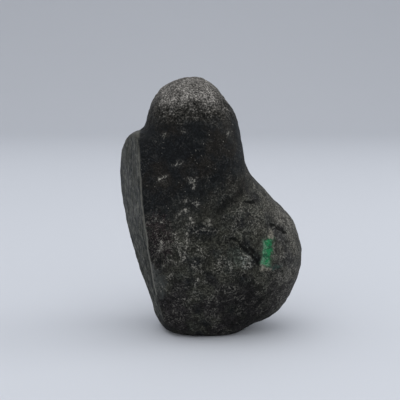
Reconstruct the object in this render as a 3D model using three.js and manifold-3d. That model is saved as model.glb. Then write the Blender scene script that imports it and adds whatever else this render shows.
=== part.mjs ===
// A raw jade boulder: one river-worn cobble of jadeite rough, standing on its flattened foot.
// Millimetres, +Z up, the origin under the middle of the stone on the surface that it stands on.
// The stone is described as a field: rounded masses that melt into each other, dressed by two soft
// worn flats. A fine icosphere is drawn in onto the field's surface. Two boolean cuts finish it: the
// split side on the left, which leaves a crisp ridge, and the level foot on which the stone stands.

import * as THREE from "three";
import { ImprovedNoise } from "three/addons/math/ImprovedNoise.js";
import { mergeVertices } from "three/addons/utils/BufferGeometryUtils.js";
import Module from "manifold-3d";

// ---------------------------------------------------------------- driving dimensions
const HEIGHT = 150; // foot to crown
const SWELL_HEIGHT = 0.9; // the gentle lumps left by tumbling in the river
const SWELL_LENGTH = 24;

// The forms, in the order in which they shape the stone. A mass is a rounded lump: its centre, its
// three half axes, how far it leans about X, Y and Z in degrees, how square it is (2 is an ellipsoid,
// more is boxier) and how widely it melts into what is there before it. A flat is a soft worn plane
// through a point, facing outwards: it takes off what stands above it, bows gently as it runs away
// from that point, and rounds over into the rest.
const FORMS = {
  crown: { centre: [-12, -2, 120.5], half: [26.6, 28, 30], lean: [0, 0, 0], square: 2.2, melt: 1 },
  neck: { centre: [-11.8, -1, 80], half: [31, 29.5, 50], lean: [0, 0, 0], square: 3.6, melt: 5 },
  cheek: { centre: [-33, -9, 86], half: [18, 18, 34.3], lean: [0, 0, 0], square: 5, melt: 2 },
  trunk: { centre: [-28, 8, 65], half: [28, 30, 54], lean: [0, -2, 0], square: 3.8, melt: 4 },
  temple: { through: [10.5, -6, 136], outwards: [0.78, 0, 0.62], bow: 0.0008, softness: 5 },
  haunch: { through: [-47, 6, 47], outwards: [-0.45, 0.72, -0.5], bow: 0.0008, softness: 8 },
  lobe: { centre: [15, -1, 46], half: [38.5, 32, 39], lean: [0, -20, 0], square: 2, melt: 26 },
  belly: { centre: [-3, -8, 47], half: [34, 26, 36], lean: [0, 0, 0], square: 2.2, melt: 8 },
  heel: { centre: [20, 0, 24], half: [24, 24, 20], lean: [0, 0, 0], square: 2, melt: 5 },
  foot: { centre: [-5, 0, 18], half: [30, 25, 22], lean: [0, 0, 0], square: 2.6, melt: 8 },
};

// The split side: a bowed face, less lumpy than the tumbled skin, that cuts the stone on the left.
const SPLIT = { through: [-50.1, -2, 97], outwards: [-0.95, -0.312, -0.03], bow: 0.0016, lumps: 0.5 };

// ---------------------------------------------------------------- mesh settings
const BALL = { detail: 19, half: [45, 40, HEIGHT / 2], centre: [-5, 0, HEIGHT / 2] };
const SETTLE = { rounds: 40, hold: 0.3 }; // how often, and how far each vertex stays where it was
const PROBE = 0.05; // the length over which the field's slope is read
const LEAST_SLOPE = 0.05;
const CUTTER = { side: 260, depth: 60, cells: 44 };
const FLOOR = { side: 400, depth: 100 };

const smoothUnion = (a, b, width) => {
  const overlap = Math.max(width - Math.abs(a - b), 0) / width;
  return Math.min(a, b) - (overlap * overlap * width) / 4;
};
const smoothCut = (a, b, width) => -smoothUnion(-a, -b, width);

// A squarish ellipsoid, melted onto the stone.
class Mass {
  constructor({ centre, half, lean, square, melt }) {
    const turn = new THREE.Euler(...lean.map(THREE.MathUtils.degToRad));
    this.toOwn = new THREE.Matrix4().makeRotationFromEuler(turn).setPosition(...centre).invert();
    this.own = new THREE.Vector3();
    this.half = half;
    this.square = square;
    this.melt = melt;
  }
  distance(point) {
    const { half, square } = this;
    const own = this.own.copy(point).applyMatrix4(this.toOwn);
    const across = Math.abs(own.x) / half[0];
    const along = Math.abs(own.y) / half[1];
    const up = Math.abs(own.z) / half[2];
    const reach = (across ** square + along ** square + up ** square) ** (1 / square);
    if (reach < 1e-6) return -Math.min(...half);
    const edge = square - 1;
    const slope = Math.hypot(
      (across / reach) ** edge / half[0],
      (along / reach) ** edge / half[1],
      (up / reach) ** edge / half[2],
    );
    return (reach - 1) / slope;
  }
  shape(stone, point) {
    return smoothUnion(stone, this.distance(point), this.melt);
  }
}

// A gently bowed plane, worn into the stone.
class Flat {
  constructor({ through, outwards, bow, softness }) {
    this.through = new THREE.Vector3(...through);
    this.outwards = new THREE.Vector3(...outwards).normalize();
    this.bow = bow;
    this.softness = softness;
    this.offset = new THREE.Vector3();
  }
  distance(point) {
    const offset = this.offset.subVectors(point, this.through);
    const above = offset.dot(this.outwards);
    return above + this.bow * (offset.lengthSq() - above * above);
  }
  shape(stone, point) {
    return smoothCut(stone, this.distance(point), this.softness);
  }
}

const forms = Object.values(FORMS).map((form) => (form.half ? new Mass(form) : new Flat(form)));
const noise = new ImprovedNoise();
const swell = ({ x, y, z }) =>
  SWELL_HEIGHT * noise.noise(x / SWELL_LENGTH, y / SWELL_LENGTH, z / SWELL_LENGTH);

// Negative inside the stone, zero on its skin.
function field(point) {
  let distance = Infinity;
  for (const form of forms) distance = form.shape(distance, point);
  return distance - swell(point);
}

const X = new THREE.Vector3(PROBE, 0, 0);
const Y = new THREE.Vector3(0, PROBE, 0);
const Z = new THREE.Vector3(0, 0, PROBE);
const probe = new THREE.Vector3();
const slope = new THREE.Vector3();

// Moves a point along the field's slope until it lies on the skin.
function drawIn(point, rounds = 3) {
  for (let round = 0; round < rounds; round++) {
    const here = field(point);
    slope.x = field(probe.copy(point).add(X)) - here;
    slope.y = field(probe.copy(point).add(Y)) - here;
    slope.z = field(probe.copy(point).add(Z)) - here;
    slope.divideScalar(PROBE);
    point.addScaledVector(slope, -here / Math.max(slope.lengthSq(), LEAST_SLOPE));
  }
  return point;
}

// Each vertex's neighbours in an indexed geometry.
function neighboursOf(geometry) {
  const count = geometry.attributes.position.count;
  const around = Array.from({ length: count }, () => new Set());
  const index = geometry.index.array;
  for (let i = 0; i < index.length; i += 3)
    for (let corner = 0; corner < 3; corner++) {
      const from = index[i + corner];
      around[from].add(index[i + ((corner + 1) % 3)]);
      around[from].add(index[i + ((corner + 2) % 3)]);
    }
  return around.map((set) => [...set]);
}

// The whole skin before its cuts: a ball drawn in onto the field and evened out over it.
function skinGeometry() {
  const ball = new THREE.IcosahedronGeometry(1, BALL.detail);
  ball.deleteAttribute("normal");
  ball.deleteAttribute("uv");
  const geometry = mergeVertices(ball, 1e-5);
  geometry.scale(...BALL.half).translate(...BALL.centre);

  const position = geometry.attributes.position;
  const around = neighboursOf(geometry);
  let points = around.map((_, i) => drawIn(new THREE.Vector3().fromBufferAttribute(position, i), 8));
  for (let round = 0; round < SETTLE.rounds; round++)
    points = points.map((point, i) => {
      const middle = new THREE.Vector3();
      for (const j of around[i]) middle.addScaledVector(points[j], 1 / around[i].length);
      return drawIn(middle.lerp(point, SETTLE.hold), 1);
    });
  points.forEach((point, i) => position.setXYZ(i, ...drawIn(point)));
  return geometry;
}

// A block whose underside is bowed and gently lumpy, laid against the stone's left.
function splitCutter() {
  const { side, depth, cells } = CUTTER;
  const block = new THREE.BoxGeometry(side, side, depth, cells, cells, 1).translate(0, 0, depth / 2);
  const position = block.attributes.position;
  const point = new THREE.Vector3();
  for (let i = 0; i < position.count; i++) {
    point.fromBufferAttribute(position, i);
    if (point.z > 0) continue;
    const fall = SPLIT.bow * point.lengthSq();
    position.setZ(i, SPLIT.lumps * swell(point) - fall);
  }
  const facing = new THREE.Vector3(...SPLIT.outwards).normalize();
  const turn = new THREE.Quaternion().setFromUnitVectors(new THREE.Vector3(0, 0, 1), facing);
  return block.applyQuaternion(turn).translate(...SPLIT.through);
}

const wasm = await Module();
wasm.setup();

function solidFrom(geometry) {
  const bare = geometry.clone();
  bare.deleteAttribute("normal");
  bare.deleteAttribute("uv");
  const merged = mergeVertices(bare);
  return new wasm.Manifold(
    new wasm.Mesh({
      numProp: 3,
      vertProperties: merged.attributes.position.array,
      triVerts: new Uint32Array(merged.index.array),
    }),
  );
}

function geometryFrom(solid) {
  const mesh = solid.getMesh();
  return new THREE.BufferGeometry()
    .setAttribute("position", new THREE.BufferAttribute(mesh.vertProperties, 3))
    .setIndex(new THREE.BufferAttribute(mesh.triVerts, 1));
}

const floor = new THREE.BoxGeometry(FLOOR.side, FLOOR.side, FLOOR.depth);
floor.translate(0, 0, -FLOOR.depth / 2);
const cobble = solidFrom(skinGeometry())
  .subtract(solidFrom(splitCutter()))
  .subtract(solidFrom(floor));
const geometry = geometryFrom(cobble);
geometry.computeBoundingBox();
const middle = geometry.boundingBox.getCenter(new THREE.Vector3());
geometry.translate(-middle.x, -middle.y, 0);
geometry.computeVertexNormals();

const rough = new THREE.MeshStandardMaterial({ color: 0x34352f, roughness: 0.7, metalness: 0 });
const boulder = new THREE.Mesh(geometry, rough);
boulder.name = "boulder";

const stone = new THREE.Group();
stone.add(boulder);

export default stone;
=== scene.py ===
# %% [markdown]
# # A raw jade boulder
#
# This lesson takes the plain solid of a river-worn jadeite boulder and gives it the skin of the
# real thing: a sandy crown, a dark waxy neck, pale crusts, cracks, a split side with a crisp ridge,
# and the small ground window through which a buyer judges the jade inside.
#
# The solid comes in as a fixed frame. Everything made here rides on it and keeps to its size.

# %% Load the frame
import math
from itertools import chain, pairwise

import bmesh
import bpy
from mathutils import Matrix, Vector, kdtree, noise
from mathutils.bvhtree import BVHTree


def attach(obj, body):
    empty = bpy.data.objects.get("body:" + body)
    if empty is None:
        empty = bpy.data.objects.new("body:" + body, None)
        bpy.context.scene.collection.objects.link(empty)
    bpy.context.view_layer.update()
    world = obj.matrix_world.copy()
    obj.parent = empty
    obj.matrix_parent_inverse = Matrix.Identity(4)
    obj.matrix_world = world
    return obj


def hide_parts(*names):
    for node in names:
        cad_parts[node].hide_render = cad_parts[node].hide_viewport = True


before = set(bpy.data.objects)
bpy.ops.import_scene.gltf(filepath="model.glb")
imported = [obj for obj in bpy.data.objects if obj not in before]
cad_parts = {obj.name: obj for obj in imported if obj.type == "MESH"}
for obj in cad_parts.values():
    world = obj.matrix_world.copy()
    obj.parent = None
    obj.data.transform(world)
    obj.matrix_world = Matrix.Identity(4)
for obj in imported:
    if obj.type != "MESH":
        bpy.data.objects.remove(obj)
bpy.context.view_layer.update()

MM = 0.001
rough_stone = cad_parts["boulder"]


# %% [markdown]
# ## The camera
#
# A stone of this size is best seen through a short telephoto lens, so that its lobe and foot keep
# their true proportions, and from a little above its middle, so that the top of the lobe shows. The
# camera is aimed from a direction and a distance, which is easier to reason about than a typed
# position: the height above the horizon is an angle that can be changed alone.

# %% Camera
AIM = Vector((-5.86, -0.13, 78.5)) * MM
ELEVATION = math.radians(10)
DISTANCE = 0.56
FOCAL_LENGTH, FILM_WIDTH = 85, 36

lens = bpy.data.cameras.new("camera")
lens.lens = FOCAL_LENGTH
lens.sensor_width = FILM_WIDTH
camera = bpy.data.objects.new("camera", lens)
bpy.context.scene.collection.objects.link(camera)
backwards = Vector((0, -math.cos(ELEVATION), math.sin(ELEVATION)))
camera.location = AIM + backwards * DISTANCE
camera.rotation_euler = backwards.to_track_quat("Z", "Y").to_euler()
bpy.context.scene.camera = camera
print("the camera is", DISTANCE, "m away and looks down by", round(math.degrees(ELEVATION)), "degrees")

# %% [markdown]
# ## A finer skin
#
# The solid is made of a few thousand triangles of about 3 mm. Jade rough has relief that is finer
# than that, so the skin needs many more, evenly spread. Subdividing would keep the solid's uneven
# triangles, and slivers catch the light. A voxel remesh lays a new net of even quads over the same
# shape instead. Its faint steps are smoothed out later, once it is known where the ridge has to stay
# sharp.
#
# The merge comes first, because an imported solid's triangles don't share their corners.

# %% An even net over the solid
VOXEL = 0.76 * MM


def object_from(shape, name):
    """Turns a bmesh into a shown object with its place in its mesh."""
    mesh = bpy.data.meshes.new(name)
    shape.to_mesh(mesh)
    made = bpy.data.objects.new(name, mesh)
    bpy.context.scene.collection.objects.link(made)
    return made


solid = bmesh.new()
solid.from_mesh(rough_stone.data)
bmesh.ops.remove_doubles(solid, verts=solid.verts, dist=0.001 * MM)
solid.normal_update()

blank = object_from(solid, "blank")
net = blank.modifiers.new("even net", "REMESH")
net.mode = "VOXEL"
net.voxel_size = VOXEL
net.adaptivity = 0
netted = bpy.data.meshes.new_from_object(blank.evaluated_get(bpy.context.evaluated_depsgraph_get()))
skin = bmesh.new()
skin.from_mesh(netted)
bpy.data.objects.remove(blank)
print("the skin has", len(skin.faces), "quads, which is", 2 * len(skin.faces), "triangles")

# %% [markdown]
# ## Knowing where the ridge is
#
# On the left the boulder has parted along a natural joint. The side that this left is flatter and
# smoother than the rest, and it meets the front in a ridge that the river has hardly rounded.
#
# The ridge could be typed in as a line, but the solid already knows it: it is where two of its faces
# meet at an angle. Collecting points along those edges gives a search tree, and the tree tells every
# point of the skin how far it is from the ridge.

# %% Distance to the ridge, and which side is split
RIDGE_ANGLE = math.radians(14)
SPLIT_OUT = Vector((-0.95, -0.312, -0.03)).normalized()
FACES_OUT = 0.955
FACES_OUT_AT_EDGE = 0.97
FOOT_TOP = 1.5 * MM
STEPS_PER_EDGE = 4

ridge_points = []
for edge in solid.edges:
    low = min(vert.co.z for vert in edge.verts)
    touches_split = any(face.normal.dot(SPLIT_OUT) > FACES_OUT_AT_EDGE for face in edge.link_faces)
    if edge.calc_face_angle(0) > RIDGE_ANGLE and low > FOOT_TOP and touches_split:
        start, end = (vert.co for vert in edge.verts)
        ridge_points += [start.lerp(end, step / STEPS_PER_EDGE) for step in range(STEPS_PER_EDGE + 1)]
ridge = kdtree.KDTree(len(ridge_points))
for index, point in enumerate(ridge_points):
    ridge.insert(point, index)
ridge.balance()
surface = BVHTree.FromBMesh(solid)


def ridge_distance(point):
    """Millimetres to the nearest edge of the split side: positive on that side, negative off it."""
    away = ridge.find(point)[2] / MM
    _, normal, _, _ = surface.find_nearest(point)
    return away if normal.dot(SPLIT_OUT) > FACES_OUT else -away


print("the split side's edge was found at", len(ridge_points), "points")

# %% [markdown]
# ## Two small tools
#
# The shape of the skin is made with two tools. A fade says how far a value has got between two
# limits, which lets one part of the stone pass softly into the next. A noise is smooth and looks
# random, yet gives the same answer at the same place every time, so that the stone never changes.

# %% A fade and a noise
def fade(value, start, end):
    """Runs smoothly from 0 at start to 1 at end."""
    share = min(max((value - start) / (end - start), 0), 1)
    return share * share * (3 - 2 * share)


def grainy(point):
    """Smooth to-and-fro noise at a point given in its own wavelengths, from about -1 to 1."""
    return noise.noise(point, noise_basis="PERLIN_ORIGINAL")


print("halfway between its limits a fade stands at", fade(5, 0, 10))

# %% [markdown]
# ## Marks on the front
#
# The marks that make this stone itself are few: pale branching crusts where clay and mica cling, a
# set of short cracks beside a sugary grey patch, a crease where the lobe joins the neck, and the
# ground window. Each is drawn as a stroke on the front, in millimetres across and up, and a point's
# distance from the nearest stroke says how deep or how pale the skin is there. Storing that distance
# on the mesh keeps an edge sharp, because the material decides later where to cut it off. A natural
# line is never straight, so a little noise makes each stroke waver.

# %% Strokes
FAR = 30.0
WAVER_HEIGHT, WAVER_LENGTH = 0.9, 2.2
CRUSTS = {
    "on the brow": [
        [(-14.5, 122.5), (-14, 122)],
        [(-26.5, 119.5), (-25.5, 120)],
        [(9.5, 120.5), (10, 121)],
        [(-20, 103), (-18.5, 104), (-16.5, 104.5)],
    ],
    "on the neck": [
        [(-29, 95), (-27.5, 96), (-26, 96.5), (-25, 97)],
        [(-12, 95.5), (-11, 93.5), (-9.5, 94), (-8.5, 95.5), (-10, 96), (-12, 95.5)],
        [(-10, 93.5), (-9, 92), (-9.5, 90.5)],
        [(-15, 83), (-13.5, 83.5)],
        [(-10, 82), (-8.5, 83), (-7, 82), (-7.5, 80.5)],
    ],
    "where the neck meets the belly": [
        [(-18.5, 74), (-17, 76), (-16, 78), (-14, 78.5), (-13.5, 77)],
        [(-11.5, 74.5), (-11, 73), (-10, 71.5), (-11, 70.5)],
        [(-0.5, 72.5), (0, 71), (-1, 70)],
        [(-31, 74), (-30.5, 72.5)],
        [(-28, 71), (-27, 71.5)],
    ],
    "down the belly": [
        [(-21, 65), (-20, 64.5), (-19, 65)],
        [(-19.5, 63), (-19, 61.5)],
        [(-13.5, 66), (-14, 63), (-12.5, 60.5), (-13.5, 58), (-14, 55), (-15, 52), (-16, 49)],
        [(-28, 60.5), (-27, 59), (-27.5, 57.5)],
        [(-28.5, 56), (-29, 54.5)],
        [(-18, 59), (-17.5, 56), (-17, 52.5)],
        [(-20.5, 49), (-19.5, 48)],
        [(-10, 47.5), (-8, 45.5)],
        [(-7, 40), (-8.5, 36.5)],
    ],
    "on the sugary patch": [
        [(20, 50.5), (21.5, 48.5)],
        [(17.5, 54), (21, 52.5)],
        [(19, 47.5), (22, 46.5)],
    ],
}
CRACKS = {
    "beside the sugary patch": [
        [(10, 62), (12, 63), (14.5, 62), (16, 60.5)],
        [(17, 59), (19.5, 56.5), (21, 54.5), (23.5, 52.5), (26, 49.5), (27.5, 47.5)],
        [(20, 57), (22.5, 54)],
        [(22, 57.5), (25, 54)],
    ],
    "over the window": [
        [(34.5, 68.5), (37.5, 67), (40.5, 65), (43, 63)],
    ],
    "on top of the lobe": [
        [(20, 82.5), (23, 81.5), (25, 81.5)],
    ],
}
CREASE = {
    "between neck and lobe": [
        [(4.5, 78), (9, 81), (12.5, 84), (16, 86.5)],
    ],
}


def stroke_distance(marked, x, z):
    """Millimetres from a point of the front to the nearest stroke of some marked places."""
    nearest = FAR
    aside, above = (
        WAVER_HEIGHT * grainy(Vector((x / WAVER_LENGTH, layer, z / WAVER_LENGTH))) for layer in (9, 40)
    )
    x, z = x + aside, z + above
    for stroke in chain.from_iterable(marked.values()):
        for (x0, z0), (x1, z1) in pairwise(stroke):
            run, rise = x1 - x0, z1 - z0
            share = ((x - x0) * run + (z - z0) * rise) / (run * run + rise * rise)
            share = min(max(share, 0), 1)
            nearest = min(nearest, math.hypot(x - x0 - share * run, z - z0 - share * rise))
    return nearest


for kind, marked in (("crusts", CRUSTS), ("cracks", CRACKS), ("crease", CREASE)):
    for place, strokes in marked.items():
        print(kind, place + ":", len(strokes))

# %% [markdown]
# ## The ground window
#
# A buyer grinds a narrow window through the skin to see what the stone holds. It is a shallow slot,
# about 5 by 15 mm, flat and polished, with a frayed rim of paler weathered jade at its ends.

# %% The window's outline
WINDOW_MIDDLE = (32.3, 53.6)
WINDOW_LEAN = math.radians(7)
WINDOW_HALF = (2.7, 7.3)
WINDOW_CORNER = 1.2
WINDOW_DEPTH = 0.6


def window_place(x, z):
    """A point of the front in the window's own across and along directions, in millimetres."""
    dx, dz = x - WINDOW_MIDDLE[0], z - WINDOW_MIDDLE[1]
    across = dx * math.cos(WINDOW_LEAN) - dz * math.sin(WINDOW_LEAN)
    along = dx * math.sin(WINDOW_LEAN) + dz * math.cos(WINDOW_LEAN)
    return across, along


def window_distance(x, z):
    """Millimetres to the window's edge, negative inside it."""
    across, along = window_place(x, z)
    past_side = abs(across) - WINDOW_HALF[0] + WINDOW_CORNER
    past_end = abs(along) - WINDOW_HALF[1] + WINDOW_CORNER
    outside = math.hypot(max(past_side, 0), max(past_end, 0))
    return outside + min(max(past_side, past_end), 0) - WINDOW_CORNER


print("the window's middle lies", round(-window_distance(*WINDOW_MIDDLE), 2), "mm inside its edge")

# %% [markdown]
# ## The relief
#
# Tumbling leaves broad shallow dents. On top of them the crown and belly are sandy, because the
# grains of jadeite stand out where softer matter has weathered away, while the neck and the split
# side are rubbed nearly smooth. Ripples of several lengths make this, each kept to where it belongs
# by a weight that fades from one part of the stone to the next.

# %% Weights and heights
CRUST_HEIGHT, CRACK_DEPTH, CREASE_DEPTH = 0.32, 0.75, 0.9


def ripple(here, height, length, shift=(0, 0, 0)):
    """Noise of so many millimetres in height and length; a shift gives another pattern."""
    return height * grainy(here / length + Vector(shift))


def relief(x, y, z, ridge_away):
    """Height of the skin over the solid, in millimetres, where no mark has touched it."""
    here = Vector((x, y, z))
    crown = fade(z, 112, 132)
    belly = fade(z, 92, 72)
    sandy = max(crown, 0.65 * belly)
    split = fade(ridge_away, -0.5, 1.5)
    dents = ripple(here, 0.6, 15) + ripple(here, 0.42, 6.5, (7, 3, 1))
    lumps = ripple(here, 0.24, 3.6) * (0.5 + sandy)
    sand = ripple(here, 0.13, 1.9) * (0.15 + sandy)
    pits = min(ripple(here, 0.5, 4.3, (31, 0, 0)) + 0.17, 0) * (0.3 + sandy)
    off_split = dents + lumps + sand + pits
    streaks = 0.16 * grainy(Vector((x / 3, y / 3, z / 22)))
    on_split = 0.8 * dents + 1.4 * streaks + 0.3 * sand
    return off_split * (1 - split) + on_split * split


def marks(x, z, crust, crack, crease):
    """What the marks of the front add to the height, in millimetres."""
    fray = 0.45 * grainy(Vector((x / 1.3, 5, z / 1.3)))
    raised = CRUST_HEIGHT * fade(crust + fray, 1.1, 0.2)
    cut = CRACK_DEPTH * fade(crack + 0.6 * fray, 0.95, 0.1)
    fold = CREASE_DEPTH * fade(crease + 2 * fray, 4.5, 0.3)
    return raised - cut - fold


sample = [relief(-12, -25 + step, 140, -FAR) for step in range(50)]
print("across the crown the relief runs from", round(min(sample), 2), "to", round(max(sample), 2), "mm")

# %% [markdown]
# ## Moving the skin
#
# First the net's steps are smoothed away, except beside the ridge and at the foot, which have to stay
# crisp. Then each point learns its distances and moves along its own normal by the height of the
# relief there. The new places are gathered before any point moves, so that no point is judged by a
# neighbour that has already moved. Towards the foot the relief fades out, because the stone stands
# on a level face.

# %% Smooth, measure and move
STORED = ("ridge", "crust", "crack", "crease", "window", "up")
KEEP_BY_RIDGE, KEEP_BY_FOOT = 1.6 * MM, 0.4 * MM
SMOOTHING_ROUNDS = 3

skin.verts.ensure_lookup_table()
skin.normal_update()
layers = {name: skin.verts.layers.float.new(name) for name in STORED}
away_from_ridge = [
    vert for vert in skin.verts if ridge.find(vert.co)[2] > KEEP_BY_RIDGE and vert.co.z > KEEP_BY_FOOT
]
for _ in range(SMOOTHING_ROUNDS):
    bmesh.ops.smooth_vert(
        skin, verts=away_from_ridge, factor=0.5, use_axis_x=True, use_axis_y=True, use_axis_z=True
    )
skin.normal_update()

places = []
for vert in skin.verts:
    x, y, z = vert.co / MM
    away = ridge_distance(vert.co)
    values = dict.fromkeys(STORED, FAR) | {"ridge": away, "up": vert.normal.z}
    height = relief(x, y, z, away)
    on_the_front = vert.normal.y < 0.1 and away < 0.5
    if on_the_front:
        values["crust"] = stroke_distance(CRUSTS, x, z)
        values["crack"] = stroke_distance(CRACKS, x, z)
        values["crease"] = stroke_distance(CREASE, x, z)
        values["window"] = window_distance(x, z)
        ground = fade(values["window"], 0.5, -0.5)
        worn = height + marks(x, z, values["crust"], values["crack"], values["crease"])
        height = worn * (1 - ground) - WINDOW_DEPTH * ground
    for name, value in values.items():
        vert[layers[name]] = min(value, FAR)
    level = fade(z, 0.3, 2.5)
    places.append(vert.co + vert.normal * height * level * MM)
for vert, place in zip(skin.verts, places):
    vert.co = place
    vert.co.z = max(vert.co.z, 0)
skin.normal_update()
for face in skin.faces:
    face.smooth = True
boulder_skin = object_from(skin, "boulder_skin")
print("the skin was moved at", len(places), "points")

# %% [markdown]
# ## Shader maths as plain expressions
#
# The skin's colour is worked out from many masks. Wiring each sum by hand would bury the thought in
# boxes and lines, so one small class wraps a socket, and ordinary operators add the nodes.

# %% A socket that does sums
class Value:
    """A number that the shader will work out, on which ordinary sums can be done."""

    def __init__(self, tree, socket):
        self.tree, self.socket = tree, socket

    def maths(self, operation, *others):
        node = self.tree.nodes.new("ShaderNodeMath")
        node.operation = operation
        for place, value in enumerate((self, *others)):
            feed(self.tree, node.inputs[place], value)
        return Value(self.tree, node.outputs[0])

    def __add__(self, other): return self.maths("ADD", other)
    def __radd__(self, other): return self.maths("ADD", other)
    def __sub__(self, other): return self.maths("SUBTRACT", other)
    def __rsub__(self, other): return (self * -1) + other
    def __mul__(self, other): return self.maths("MULTIPLY", other)
    def __rmul__(self, other): return self.maths("MULTIPLY", other)
    def __truediv__(self, other): return self.maths("DIVIDE", other)
    def at_most(self, other): return self.maths("MINIMUM", other)
    def at_least(self, other): return self.maths("MAXIMUM", other)

    def fade(self, start, end):
        """Runs smoothly from 0 at start to 1 at end."""
        node = self.tree.nodes.new("ShaderNodeMapRange")
        node.interpolation_type = "SMOOTHSTEP"
        turned = start > end
        low, high = sorted((start, end))
        for name, value in (("Value", self), ("From Min", low), ("From Max", high)):
            feed(self.tree, node.inputs[name], value)
        result = Value(self.tree, node.outputs["Result"])
        return 1 - result if turned else result


def feed(tree, socket, value):
    """Links a wrapped socket to an input, or sets the input to a plain value."""
    if isinstance(value, Value):
        tree.links.new(value.socket, socket)
    else:
        socket.default_value = value


class Finish:
    """A material under construction: any node comes from node(), as type, settings, then sockets."""

    def __init__(self, name):
        self.material = bpy.data.materials.new(name)
        self.material.use_nodes = True
        self.tree = self.material.node_tree
        self.shader = self.tree.nodes["Principled BSDF"]

    def node(self, kind, settings=None, output=0, **sockets):
        node = self.tree.nodes.new("ShaderNode" + kind)
        for name, value in (settings or {}).items():
            setattr(node, name, value)
        for name, value in sockets.items():
            feed(self.tree, node.inputs[name.replace("_", " ")], value)
        return Value(self.tree, node.outputs[output])

    def attribute(self, name):
        return self.node("Attribute", {"attribute_name": name}, output="Fac")

    def mix(self, amount, first, second):
        """The first colour, turned by some amount into the second."""
        node = self.tree.nodes.new("ShaderNodeMix")
        node.data_type = "RGBA"
        for place, value in ((0, amount), (6, first), (7, second)):
            if place and not isinstance(value, Value):
                value = (*value, 1)
            feed(self.tree, node.inputs[place], value)
        return Value(self.tree, node.outputs[2])

    def set(self, **sockets):
        for name, value in sockets.items():
            feed(self.tree, self.shader.inputs[name.replace("_", " ")], value)


# %% [markdown]
# ## Reading places and distances
#
# The finish depends on the place on the stone, so its patterns read the object's own coordinates,
# turned into millimetres, and the distances that were stored on the mesh. A pattern that reads these
# stays put when the stone is moved, and a number in it can be checked with a ruler.
#
# Four small helpers make every pattern below: a cloud of noise, thin branching threads, a ragged
# spot at a known place on the front, and a colour made brighter or darker.

# %% Coordinates, distances and pattern helpers
jade = Finish("weathered_jade")
metres = jade.node("TexCoord", output="Object")
millimetres = jade.node("VectorMath", {"operation": "SCALE"}, Vector=metres, Scale=1000)
x, y, z = (jade.node("SeparateXYZ", output=axis, Vector=millimetres) for axis in "XYZ")
(ridge_away, crust_away, crack_away, crease_away, window_away, up_facing) = (
    jade.attribute(name) for name in ("ridge", "crust", "crack", "crease", "window", "up")
)


def cloud(size, detail=2, roughness=0.5, curl=0, at=millimetres):
    """Noise with features about so many millimetres across, from about 0 to 1."""
    return jade.node(
        "TexNoise", Vector=at, Scale=1 / size, Detail=detail, Roughness=roughness, Distortion=curl
    )


def threads(size, width):
    """Thin branching lines, where a noise passes through its middle value."""
    return (cloud(size, 4, 0.6, 0.6) - 0.5).maths("ABSOLUTE").fade(width, 0)


def spot(place, reach, ragged=1.6):
    """1 at a place on the front, given across and up, fading to 0 at so many millimetres from it."""
    across, up = (x - place[0]) / reach[0], (z - place[1]) / reach[1]
    return (across * across + up * up + (fine - 0.5) * ragged * 3).fade(1.3, 0) * front


def tinted(colour, amount):
    """A colour made brighter or darker."""
    return jade.node("VectorMath", {"operation": "SCALE"}, Vector=colour, Scale=amount)


print("the finish reads 3 coordinates and", len(layers), "stored values")

# %% [markdown]
# ## Where each part of the stone is
#
# Weathering follows height. The crown catches rain and dust, the neck is handled and rubbed, the
# belly keeps its sand, and the part low down stays damp, with painted shade under the lobe on the
# right. Each part is a mask that fades over some millimetres of height, and the height is first
# pushed up and down by noise, so that no boundary runs level.
#
# The four noises are shared by everything that follows. Using the same ones for colour, roughness
# and bump is what makes a pale grain also a raised grain.

# %% Shared noises and the masks of the stone's parts
middling, fine = cloud(9, 3), cloud(2.6, 4, 0.6)
sugar, finest = cloud(1.0, 3, 0.7, 0.3), cloud(0.7, 2, 0.6)
front = y.fade(2, -6)
wander = (middling - 0.5) * 22 + (fine - 0.5) * 16
crown = (z + wander * 1.2 + up_facing * 10).fade(135, 154)
brow = (z + wander * 0.7).fade(123, 133)
belly = (z - x * 0.5 + wander * 1.2).fade(100, 66)
low = (z + wander).fade(46, 26)
shoulder = x.fade(-39.4, -40.8) * z.fade(116, 119) * y.fade(6, 0)
split = (ridge_away + (finest - 0.5) * 0.6).fade(-0.25, 0.25).at_least(shoulder)
print("crown, brow, belly, low part and split side are masked with", len(jade.tree.nodes), "nodes")

# %% [markdown]
# ## The body's colours
#
# Under its dust, weathered jadeite is nearly black. The neck runs from blue-black to brown-black,
# the belly from olive to grey-green, and the part low down stays a damp dark grey. Iron stains one
# hollow on the left a dull plum, and painted shade darkens the middle of that hollow. Low on the
# right, painted shade darkens the underside of the lobe. Each colour is laid over the last through
# the mask of its part, broken up by a cloud.

# %% Dark ground colours
BLUE_BLACK = (0.0080, 0.0092, 0.0100)
BROWN_BLACK = (0.0128, 0.0116, 0.0100)
UMBER = (0.0185, 0.0172, 0.0138)
OLIVE = (0.0330, 0.0330, 0.0262)
GREY_GREEN = (0.0370, 0.0395, 0.0335)
PLUM = (0.0185, 0.0128, 0.0138)
DAMP_GREY = (0.0180, 0.0165, 0.0165)
PITCH = (0.0040, 0.0042, 0.0040)

body = jade.mix(cloud(17, 4, 0.6).fade(0.48, 0.64), BLUE_BLACK, BROWN_BLACK)
body = jade.mix(brow * 0.8, body, UMBER)
body = jade.mix(belly * middling.fade(0.30, 0.62), body, OLIVE)
body = jade.mix(belly * cloud(5, 4, 0.65).fade(0.50, 0.66) * 0.6, body, GREY_GREEN)
body = jade.mix(low * cloud(14, 3).fade(0.40, 0.56), body, DAMP_GREY)
body = jade.mix(spot((-29, 60), (8, 16)) * 0.9, body, PLUM)
# painted shade: the middle of the plum hollow is darkened towards pitch, as shade in the hollow
body = jade.mix(spot((-31, 54), (7, 12)) * 0.6, body, PITCH)
# painted shade: low on the right, under the lobe, the colour is darkened halfway to pitch
body = jade.mix(low * x.fade(2, 14) * 0.5, body, PITCH)
print("the ground is mixed from 8 dark colours")
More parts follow.
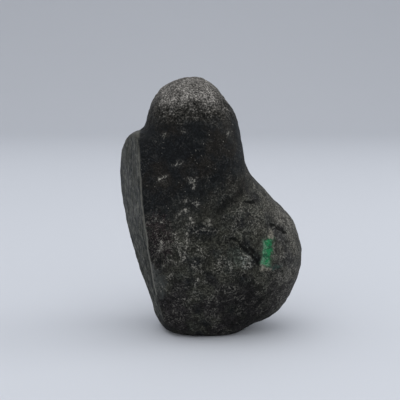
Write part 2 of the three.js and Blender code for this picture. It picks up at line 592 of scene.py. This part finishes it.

# %% [markdown]
# ## Sand, sugar and dark gaps
#
# Dust settles on what faces up and on the crown. Below the crown, on the brow, only single grains are
# pale. Towards the right edge of the belly the same pale colour is a painted sheen, standing in for a
# grazing reflection. The speckle multiplies the colour instead of painting over it, because a grain
# of the stone keeps the hue of its place. Between the grains are gaps so small and deep that they are
# painted dark, as painted shade.
#
# Two places are different. On the front of the belly a sugary patch shows coarser pale crystals, and
# low on the left a patch is rubbed smooth and grey.

# %% Dust, grains, patches and gaps
SAND = (0.258, 0.244, 0.226)
SUGAR_WHITE = (0.170, 0.180, 0.165)
WAXY_GREEN = (0.048, 0.056, 0.047)
RUBBED_GREY = (0.050, 0.053, 0.050)
SCUFFED_GREY = (0.105, 0.106, 0.100)

dust_and_sheen = crown * 0.62 + up_facing.fade(0.15, 0.75) * belly * 0.12 + 0.005
dust_and_sheen = dust_and_sheen + brow * sugar.fade(0.52, 0.64) * 0.18
# painted sheen: the pale colour grows towards the belly's right edge, as a grazing reflection; the last
# term is dust round the crusts
dust_and_sheen = dust_and_sheen + x.fade(28, 46) * belly * 0.13 + crust_away.fade(3.5, 0.5) * 0.035
body = jade.mix((dust_and_sheen * (0.5 + middling)).at_most(0.8), body, SAND)

body = jade.mix(spot((15.5, 52), (7.5, 6.5)) * 0.6, body, WAXY_GREEN)
body = jade.mix(spot((21, 50), (4, 5.5)) * sugar.fade(0.44, 0.64) * 0.6, body, SUGAR_WHITE)

speckle = (0.1 + sugar.fade(0.34, 0.66) * 1.9) * (0.45 + finest.fade(0.32, 0.68) * 1.1)
mottle = 0.5 + cloud(4.2, 5, 0.7, 1.0).fade(0.34, 0.66) * (1 - crown * 0.4)
rough_part = 0.42 + 0.40 * brow + 0.30 * belly
body = tinted(body, 0.95 + (speckle * mottle - 1) * rough_part)

body = jade.mix(spot((-31, 33), (6.5, 10), 1.2) * 0.85, body, RUBBED_GREY)
body = jade.mix(spot((-34, 38), (3, 9), 1.2) * 0.7, body, SCUFFED_GREY)
# painted shade: the small deep gaps between the grains are darkened towards pitch
gaps = cloud(2.1, 3, 0.7, 1.0).fade(0.45, 0.33) * (0.2 + 0.55 * brow + 0.35 * belly)
body = jade.mix(gaps, body, PITCH)
print("sand, sugar and gaps bring the finish to", len(jade.tree.nodes), "nodes")

# %% [markdown]
# ## Crusts, threads and cracks
#
# The stored distances now become marks. Adding noise to a distance before cutting it off frays the
# edge of the mark, so a smooth stroke turns into a broken crust. Loose grains are strewn round each
# crust and over the plum hollow, and pale threads and a few pale flecks of mica lie where the belly
# is sandy; the flecks also serve as painted glints, standing in for small sharp highlights. Cracks and
# fissures are dark, and the crease under the neck is darkened with painted shade. They go on last,
# because a crack runs through a crust and not under it.

# %% Pale marks, then dark ones
BUFF = (0.380, 0.365, 0.320)

crust = (crust_away + (finest - 0.5) * 3.0 + (fine - 0.5) * 2.0).fade(0.65, -0.15)
crust = crust * (0.2 + 0.8 * sugar.fade(0.40, 0.56))
halo = crust_away.fade(2.6, 0.4) * sugar.fade(0.56, 0.64) * 0.4
sprinkle = spot((-29, 62), (10, 16)) * finest.fade(0.60, 0.68) * 0.35
hairs = threads(4.2, 0.035) * cloud(8, 2).fade(0.44, 0.58) * (0.25 + belly)
hairs = hairs * (1 - brow) * (1 - low * 0.3)
hairs = hairs * sugar.fade(0.38, 0.58) * (0.30 + 0.24 * spot((-10, 42), (22, 24)))
body = jade.mix((crust * 0.8).at_least(hairs).at_least(halo).at_least(sprinkle), body, BUFF)
# pale flecks of mica, which also serve as painted glints standing in for small sharp highlights
mica_and_glints = cloud(1.1, 1, 0.5).fade(0.71, 0.79) * (0.2 + cloud(7, 2).fade(0.40, 0.60))
body = jade.mix(mica_and_glints * 0.45, body, BUFF)

cleft = (crack_away + (finest - 0.5) * 1.2 + (fine - 0.5) * 1.4).fade(1.15, 0.3)
# painted shade: the crease under the neck is darkened over about 4 mm, as shade in the fold
fold = (crease_away + (fine - 0.5) * 6 + (middling - 0.5) * 4).fade(4.2, 0.8) * 0.8
fissures = threads(12, 0.016) * cloud(15, 2).fade(0.46, 0.60) * belly * 0.8
body = jade.mix(cleft.at_least(fold).at_least(fissures) * 0.9, body, PITCH)
print("the marks bring the finish to", len(jade.tree.nodes), "nodes")

# %% [markdown]
# ## The split side and its ridge
#
# The joint face has no sand. It is an even slate grey, with streaks that run along its height, so
# the coordinates are squeezed in that direction before the noise reads them. Its top is painted
# paler, as a painted highlight where it turns up to the light, and the ridge that borders it carries
# a painted highlight, stronger lower down.

# %% Slate and the ridge's painted highlight
SLATE = (0.0385, 0.0398, 0.0345)
DARK_SLATE = (0.014, 0.015, 0.014)
PALE_SLATE = (0.112, 0.111, 0.097)
RIDGE_HIGHLIGHT = (0.150, 0.149, 0.132)

stretched = jade.node("Mapping", Vector=millimetres, Scale=(0.6, 0.6, 0.2))
streak = cloud(1.8, 4, 0.7, 0.8, stretched) * 0.5 + cloud(3.2, 4, 0.65) * 0.5
side = jade.mix(streak.fade(0.45, 0.51), DARK_SLATE, SLATE)
side = jade.mix(streak.fade(0.50, 0.58) * 0.7, side, PALE_SLATE)
side = jade.mix(cloud(12, 4, 0.6).fade(0.46, 0.62) * 0.6, side, OLIVE)
grain = sugar.fade(0.38, 0.62) * 0.75 + finest.fade(0.35, 0.65) * 0.45
side = tinted(side, 0.22 + grain + cloud(4.5, 5, 0.7).fade(0.40, 0.60) * 0.42)
# painted highlight: the top of the split side is painted paler where it turns up to the light
side = jade.mix(z.fade(114, 121) * 0.55, side, PALE_SLATE)
body = jade.mix(split, body, side)

# painted highlight: a line about 1 mm wide along the crisp ridge, standing in for the edge catching the
# light
highlit = (ridge_away.maths("ABSOLUTE") + (fine - 0.5) * 1.2).fade(1.1, 0.2) * z.fade(118, 106)
body = jade.mix(highlit * (0.65 + 0.25 * z.fade(80, 50)), body, RIDGE_HIGHLIGHT)
print("the split side is slate with a ridge rubbed pale over about 1 mm")

# %% [markdown]
# ## The ground window's jade
#
# Inside the window the jade is bare: a saturated green, clouded with milky patches towards its lower
# and left edges. Grinding frays the skin, so the window's ends show a beige rim and a teal smear.

# %% The green inside and its frayed rim
EMERALD = (0.004, 0.130, 0.042)
DEEP = (0.004, 0.066, 0.027)
MILKY = (0.085, 0.195, 0.115)
TEAL = (0.020, 0.050, 0.042)
BARE = (0.250, 0.232, 0.190)
GREEN_SHADE = (0.050, 0.090, 0.055)

green = jade.mix(cloud(3.2, 3).fade(0.40, 0.58), DEEP, EMERALD)
milk = cloud(1.9, 3, 0.6) + z.fade(53, 46) * 0.16 + x.fade(32.4, 29.8) * 0.14
green = jade.mix(milk.fade(0.56, 0.70) * 0.8, green, MILKY)
green = tinted(green, 0.55 + finest.fade(0.3, 0.7) * 0.9)

inside = (window_away + (fine.fade(0.3, 0.7) - 0.5) * 1.7 + (finest - 0.5) * 2.4).fade(0.45, -0.45)
rim = (window_away + (fine - 0.5) * 5).fade(2.2, 0.2)
bare = spot((34.2, 62), (1.8, 4), 1).at_least(spot((29.4, 45.4), (1.9, 3), 1))
bare = bare.at_least(spot((33, 44), (2.6, 1), 1))
body = jade.mix(spot((37, 45), (4, 1.8)) * 0.7, body, TEAL)
body = jade.mix(rim * 0.45, body, GREEN_SHADE)
body = jade.mix(bare * (0.15 + 0.65 * sugar.fade(0.38, 0.6)), body, BARE)
body = jade.mix(inside, body, green)
print("the window is", 2 * WINDOW_HALF[0], "by", 2 * WINDOW_HALF[1], "mm of green jade")

# %% [markdown]
# ## Roughness and bump
#
# The relief already on the mesh gives the lumps and pits that change the outline. Finer grain than
# the mesh can hold comes from a bump of at most half a millimetre, made from the same noises as the
# colour. Dust is matt and the neck has a dull wax, but weathered jade hardly mirrors anything, so
# the mirror reflection is turned well down. Only the window keeps a little polish.

# %% Roughness, bump and the parts put together
MIRROR_LEVEL = 0.06
BUMP_HEIGHT = 0.5 * MM

lumpy = sugar * 0.40 + finest * 0.25 * (0.35 + crown + belly * 0.7) + fine * 0.45
height = (lumpy - gaps * 0.25 + crust * 0.2 - cleft * 0.4) * (1 - inside * 0.9) * (1 - split * 0.5)
bump = jade.node("Bump", Strength=0.7, Distance=BUMP_HEIGHT, Height=height)
roughness = (0.52 + 0.30 * crown + 0.14 * belly + (fine - 0.5) * 0.3) * (1 - inside) + inside * 0.3
jade.set(Base_Color=body, Roughness=roughness, Coat_Weight=inside * 0.35, Normal=bump)
jade.shader.inputs["Specular IOR Level"].default_value = MIRROR_LEVEL

boulder_skin.data.materials.clear()
boulder_skin.data.materials.append(jade.material)
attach(boulder_skin, "root")
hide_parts("boulder")
print("the finish has", len(jade.tree.nodes), "nodes")

# %% [markdown]
# ## The table
#
# The stone stands on a pale sweep: a floor that curves up into a wall, so that no horizon line cuts
# the view. The paper is painted a little darker towards the wall, as painted shade where less light
# reaches it, which sets the stone off from it. It is extruded from its side profile, and its faces
# are turned to look at the stone.

# %% A pale sweep
NEAR_PAPER = (0.62, 0.642, 0.688)
SHADED_WALL_PAPER = (0.435, 0.45, 0.485)
BEND_STEPS = 16


def sweep(width, near, far, bend, height, name):
    """A floor that curves up into a wall, extruded from its side profile."""
    shape = bmesh.new()
    profile = [Vector((0, -near, 0)), Vector((0, far, 0))]
    centre = Vector((0, far, bend))
    for step in range(1, BEND_STEPS + 1):
        turn = math.radians(90) * step / BEND_STEPS
        profile.append(centre + Vector((0, math.sin(turn), -math.cos(turn))) * bend)
    profile.append(Vector((0, far + bend, height)))
    line = [shape.verts.new(point + Vector((-width / 2, 0, 0))) for point in profile]
    edges = [shape.edges.new(pair) for pair in zip(line, line[1:])]
    made = bmesh.ops.extrude_edge_only(shape, edges=edges)["geom"]
    moved = [part for part in made if isinstance(part, bmesh.types.BMVert)]
    bmesh.ops.translate(shape, verts=moved, vec=(width, 0, 0))
    shape.normal_update()
    middle = Vector((0, 0, bend))
    for face in shape.faces:
        face.smooth = True
        if face.normal.dot(middle - face.calc_center_median()) < 0:
            face.normal_flip()
    return object_from(shape, name)


table = sweep(width=9.0, near=4.5, far=1.1, bend=0.6, height=3.0, name="pale_sweep")
paper = Finish("pale_paper")
paper_metres = paper.node("TexCoord", output="Object")
back = paper.node("SeparateXYZ", output="Y", Vector=paper_metres)
# painted shade: the paper darkens from the floor towards the wall
shade = paper.mix(back.fade(0.6, 1.9), NEAR_PAPER, SHADED_WALL_PAPER)
paper.set(Base_Color=shade, Roughness=0.9)
table.data.materials.append(paper.material)
print("the sweep has", len(table.data.polygons), "faces")

# %% [markdown]
# ## The light
#
# A stone is judged in soft, even light. Most of it comes from the room all round, so the shadow stays
# pale. One wide panel overhead makes the crown and the top of the lobe brighter than the front, and a
# smaller panel on the right keeps the lobe's far edge from sinking into the dark.

# %% Room light and two soft panels
ROOM_COLOUR = (0.95, 0.97, 1.0, 1)
ROOM_STRENGTH = 0.84

world = bpy.data.worlds.new("soft_room")
bpy.context.scene.world = world
world.use_nodes = True
room = world.node_tree.nodes["Background"]
room.inputs["Color"].default_value = ROOM_COLOUR
room.inputs["Strength"].default_value = ROOM_STRENGTH


def soft_panel(name, place, towards, size, watts):
    """A rectangular light that hangs at one place and faces another."""
    panel = bpy.data.lights.new(name, "AREA")
    panel.shape = "RECTANGLE"
    panel.size, panel.size_y = size
    panel.energy = watts
    hung = bpy.data.objects.new(name, panel)
    bpy.context.scene.collection.objects.link(hung)
    hung.location = place
    hung.rotation_euler = (Vector(place) - Vector(towards)).to_track_quat("Z", "Y").to_euler()
    return hung


soft_panel("overhead", (-0.15, -0.05, 1.15), (0, 0.05, 0), (1.6, 1.3), 5.2)
soft_panel("right_fill", (1.1, 0.15, 0.45), (0.03, 0, 0.06), (0.5, 0.7), 3)
bpy.context.scene.view_settings.view_transform = "Standard"
print("the room shines at", ROOM_STRENGTH, "and two soft panels are hung")
